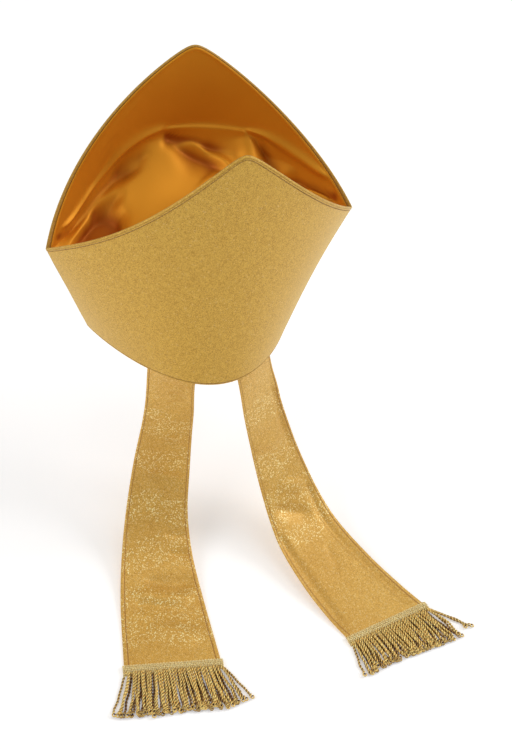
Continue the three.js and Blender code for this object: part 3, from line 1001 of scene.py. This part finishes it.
def make_lappet(side, material):
    """A lappet's cloth, and the lines on it that its stitches follow."""
    table = measured(LAPPETS[side])
    lengths = np.linspace(-TUCK_HEIGHT, table["length"][-1], LAPPET_ROWS)
    across = lappet_columns(MEAN_WIDTH)
    middle, width = lappet_middle(table, lengths, across)
    normal = normals(middle)
    if normal[5, len(across) // 2] @ np.array([0, -1, 0.2]) < 0:
        normal = -normal
    from_side = (1 - np.abs(across))[None] * MEAN_WIDTH / 2
    thickness, hem = lappet_thickness(from_side)
    x = across[None] * width / 2
    reach = np.broadcast_to(lengths[:, None], x.shape)
    relief = CREASE_HEIGHT * fold_relief(x, reach, LAPPET_FOLDS[side])
    relief = relief * ease(lengths, 4, 18)[:, None]
    middle = middle + normal * relief[..., None]
    middle[..., 2] = np.maximum(middle[..., 2], REST_HEIGHT + LAPPET_WALL / 2)
    front = middle + normal * (thickness + hem)[..., None]
    back = middle - normal * thickness[..., None]
    piece = new_piece(f"lappet_{side}_cloth", *wall_mesh(front, back), material)
    seam = np.broadcast_to(0.8 * bump(from_side, HEM_WIDTH, 0.36), x.shape)
    store_values(piece, "seam", seam, seam)
    painted_glints = painted_glint_values(side, x, reach)
    store_values(piece, "painted_glints", painted_glints, painted_glints)
    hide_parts(f"lappet_{side}")
    lines = []
    for edge in (-1, 1):
        place = edge * (1 - HEM_WIDTH / (MEAN_WIDTH / 2))
        column = np.abs(across - place).argmin()
        lines.append((front[:, column] - normal[:, column] * 0.02)[8:])
    return piece, lines


# ---- the fringes ----


def fringe_frame(side):
    """Where a fringe starts, the way it runs and the way across it."""
    last = {key: column[-1] for key, column in LAPPETS[side].items()}
    turn = math.radians(last["turn"])
    start = np.array([last["x"], last["y"], REST_HEIGHT])
    along = np.array([math.sin(turn), -math.cos(turn), 0])
    across = np.array([math.cos(turn), math.sin(turn), 0])
    return start, along, across, last["width"]


def twisted_strands(centre, pitch, gap):
    """Paths of the two strands of a cord along a centre line, wound about each other."""
    reach = reach_along(centre)
    along = unit(np.gradient(centre, axis=0))
    side = unit(np.cross(along, (0, 0, 1)))
    up = np.cross(side, along)
    turn = 2 * math.pi * (reach[-1] - reach) / pitch
    gap = np.broadcast_to(gap, turn.shape)
    offset = (np.cos(turn) * gap)[:, None] * side + (np.sin(turn) * gap)[:, None] * up
    return centre + offset, centre - offset, along[-1], side[-1]


def cord_path(centre, pitch, gap):
    """One looped strand: down the cord, round its tip and back up, wound about itself."""
    first, second, along, side = twisted_strands(centre, pitch, gap)
    bend = np.linspace(0, math.pi, 9)[1:-1, None]
    tip = centre[-1] + gap[-1] * (np.cos(bend) * side + 1.3 * np.sin(bend) * along)
    # The tip's core lies below it, so the tip's underside gets painted shade.
    core = np.concatenate([centre, tip - (0, 0, 1), centre[::-1]])
    return np.concatenate([first, tip, second[::-1]]), core


def cord_centre(side, place, shift, reach, lift, wander):
    """Centre line of one cord, lying on the floor from the heading to its tip."""
    start, along, across, width = fringe_frame(side)
    t = np.linspace(0, 1, CORD_POINTS)
    top = BRAID_END - CORD_TUCK
    forward = top + (reach - top) * t
    bow = 0.8 if abs(place) > 0.96 else 1.25
    sideways = place * (width / 2 - CORD_MARGIN) + shift * t**bow
    sideways += wander[0] * np.sin(t * 5 + wander[1]) * t
    sideways += 2.0 * math.sin(wander[1] * 3) * ease(t, 0.84, 1) ** 2
    sideways += 0.45 * np.sin(t * 17 + wander[1] * 5) * t
    rise = STRAND_RADIUS * 1.95 + lift * np.sin(np.clip(t * 1.1, 0, 1) * math.pi) ** 0.7
    rise += STRAND_RADIUS * 1.5 * ease(t, 0.88, 0.98)
    rise += 0.9 * (1 - ease(t, 0, 0.2)) + wander[2] * np.sin(t * 6 + wander[1]) ** 2
    centre = start + forward[:, None] * along + sideways[:, None] * across
    centre[:, 2] += rise
    return centre


def make_fringe(side, seed, material):
    chance = np.random.default_rng(seed)
    bundle = Bundle()
    cords = [(place, 0.0) for place in np.linspace(-1, 1, CORDS_BELOW).tolist()]
    upper = np.linspace(-0.97, 0.97, CORDS_ABOVE) + chance.normal(0, 0.012, CORDS_ABOVE)
    cords += [(place, 1.0) for place in upper.tolist()]
    phase = chance.uniform(0, 6.28, 3)
    table = CORD_TIPS[side]
    tips = []
    for place, layer in cords:
        shift, reach = (float(table_value(table, "place", place, k)) for k in ("shift", "reach"))
        gather = 0.9 * math.sin(place * 13 + phase[0]) + 0.5 * math.sin(place * 29 + phase[1])
        shift += gather * max(1 - abs(place), 0) ** 0.3 + chance.normal(0, 0.5 + 0.9 * layer)
        reach += chance.normal(0, 0.9) - layer * chance.uniform(-0.5, 2.5)
        tips.append((place, shift, reach, layer))
    tips += [(*tip, 0.0) for tip in STRAY_CORDS[side]]
    for place, shift, reach, layer in tips:
        wander = (chance.normal(0, 1.2), chance.uniform(0, 6.28), abs(chance.normal(0, 0.3)))
        centre = cord_centre(side, place, shift, reach, layer * UPPER_LAYER, wander)
        t = np.linspace(0, 1, len(centre))
        gap = STRAND_RADIUS * (0.9 + 1.5 * ease(t, 0.9, 1))
        path, core = cord_path(centre, CORD_PITCH * chance.uniform(0.9, 1.1), gap)
        # Painted shade on the lower layer away from the sides and on undersides near the floor; each
        # cord's tone also differs at random.
        lower_layer_shade = 0.45 * (1 - layer) if abs(place) < 0.95 else 0.0
        low = 0.55 * (1 - ease(path[:, 2] - REST_HEIGHT, 0.8, 2.8))
        bundle.add_tube(path, STRAND_RADIUS, 7, lower_layer_shade + low + chance.uniform(0, 0.12), core=core)
    piece = bundle.piece(f"fringe_{side}_cords", material)
    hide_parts(f"fringe_{side}")
    return piece


def make_braid(side, material):
    """Woven heading: a tape with twisted cords laid across it and a looped thread on top."""
    start, along, across, width = fringe_frame(side)
    bundle = Bundle()
    end = width / 2 + BRAID_OVERHANG
    reach = np.linspace(-end, end, 320)

    def at(forward, sideways, lift):
        forward, sideways, lift = np.broadcast_arrays(forward, sideways, lift)
        points = start + forward[:, None] * along + sideways[:, None] * across
        points[:, 2] += lift
        return points

    for index, (forward, lift) in enumerate(BRAID_CORDS):
        centre = at(forward, reach, lift)
        twist = BRAID_TWIST if index % 2 else -BRAID_TWIST
        first, second, _, _ = twisted_strands(centre, twist, 0.42)
        beads = 0.46 + 0.16 * np.sin(reach * 3.1 + index * 1.7)
        bundle.add_tube(first, beads, 6, 0.0, core=centre)
        bundle.add_tube(second, beads, 6, 0.06, core=centre)
    scallop = at(BRAID_START + 0.9 * np.abs(np.sin(reach * 1.1)), reach, 2.6)
    bundle.add_tube(scallop, 0.42, 6, 0.0)
    zigzag = at(2.2 + 1.9 * np.sin(reach * 1.9), reach, 3.25)
    bundle.add_tube(zigzag, 0.3, 5, 0.0)
    top = np.stack([at(forward, reach[::6], lift) for forward, lift, _ in BRAID_TAPE])
    under = top.copy()
    under[..., 2] -= np.array(BRAID_TAPE)[:, 2:]
    bundle.add_faces(*wall_mesh(top, under), 0.4)
    piece = bundle.piece(f"braid_{side}", material)
    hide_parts(f"fringe_braid_{side}")
    return piece


# ---- floor, light and camera ----

VIEW_AZIMUTH = -28.72
VIEW_ELEVATION = 47.67
VIEW_ROLL = 12.22
VIEW_DISTANCE = 1.305
VIEW_AIM = (0.0116, -0.1323, 0.0492)
VIEW_LENS = 71.08
FLOOR_HEIGHT = REST_HEIGHT - 0.25
FLOOR_HALF = 6.0


def make_floor():
    corners = [(-1, -1), (1, -1), (1, 1), (-1, 1)]
    points = [(x * FLOOR_HALF, y * FLOOR_HALF, FLOOR_HEIGHT * MM) for x, y in corners]
    mesh = bpy.data.meshes.new("floor")
    mesh.from_pydata(points, [], [(0, 1, 2, 3)])
    mesh.materials.append(floor_material())
    floor = placed("floor", mesh)


def make_camera():
    azimuth, elevation, roll = map(math.radians, (VIEW_AZIMUTH, VIEW_ELEVATION, VIEW_ROLL))
    flat = math.cos(elevation)
    back = Vector((math.sin(azimuth) * flat, -math.cos(azimuth) * flat, math.sin(elevation)))
    level = Vector((math.cos(azimuth), math.sin(azimuth), 0))
    upright = back.cross(level)
    right = level * math.cos(roll) + upright * math.sin(roll)
    up = back.cross(right)
    data = bpy.data.cameras.new("camera")
    data.lens = VIEW_LENS
    data.sensor_width = 36
    data.clip_start = 0.01
    camera = placed("camera", data)
    turn = Matrix((right, up, back)).transposed().to_4x4()
    place = Vector(VIEW_AIM) + back * VIEW_DISTANCE
    camera.matrix_world = Matrix.Translation(place) @ turn
    bpy.context.scene.camera = camera


def add_light(name, place, target, size, power):
    data = bpy.data.lights.new(name, "AREA")
    data.shape = "SQUARE"
    data.size = size
    data.energy = power
    light = placed(name, data)
    light.location = place
    facing = Vector(target) - Vector(place)
    light.rotation_euler = facing.to_track_quat("-Z", "Y").to_euler()


def make_lights():
    add_light("left", (-2.3, -0.5, 1.4), (0, 0, 0), 1.6, 25)
    add_light("over", (0.6, 0.0, 2.4), (0, -0.05, 0), 1.2, 8)
    add_light("right", (2.3, -0.4, 1.5), (0, 0, 0), 1.4, 31)
    world = bpy.data.worlds.new("studio")
    world.use_nodes = True
    set_inputs(world.node_tree.nodes["Background"], {"Color": WHITE, "Strength": 0.41})
    bpy.context.scene.world = world
    bpy.context.scene.view_settings.view_transform = "Standard"


# ---- assembly ----


def build():
    crepe = crepe_material()
    satin = satin_material()
    lame = lame_material()
    thread = thread_material(
        "edge_thread", rgb(92, 52, 22), rgb(140, 92, 44), rgb(190, 146, 84), 0.6, 0.1
    )
    braid = thread_material(
        "fringe_braid", rgb(172, 122, 50), rgb(238, 202, 116), rgb(255, 242, 186), 0.45, 0.4
    )
    cord = thread_material(
        "fringe_cord", rgb(84, 30, 4), rgb(252, 182, 70), rgb(255, 236, 150), 0.3, 0.3
    )

    back = make_panel("back_panel", BACK, crepe)
    front = make_panel("front_panel", FRONT, crepe)
    pieces = [back, front]
    for name, panel, parent in (("back", BACK, back), ("front", FRONT, front)):
        lines = [
            edge_line(panel, EDGE_GROOVE, 0.22),
            edge_line(panel, 0.9, PANEL_WALL - 0.2),
            rim_line(panel, RIM_GROOVE, 0.2),
        ]
        make_stitches(f"{name}_panel_stitches", lines, thread, parent)
    gusset = make_gusset(satin)
    pieces.append(gusset)
    for side, seed in (("left", 3), ("right", 11)):
        cloth, lines = make_lappet(side, lame)
        make_stitches(f"lappet_{side}_stitches", lines, thread, cloth)
        heading = make_braid(side, braid)
        fringe = make_fringe(side, seed, cord)
        pieces += [cloth, heading, fringe]
    for piece in pieces:
        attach(piece, "root")


make_camera()
make_floor()
make_lights()
build()
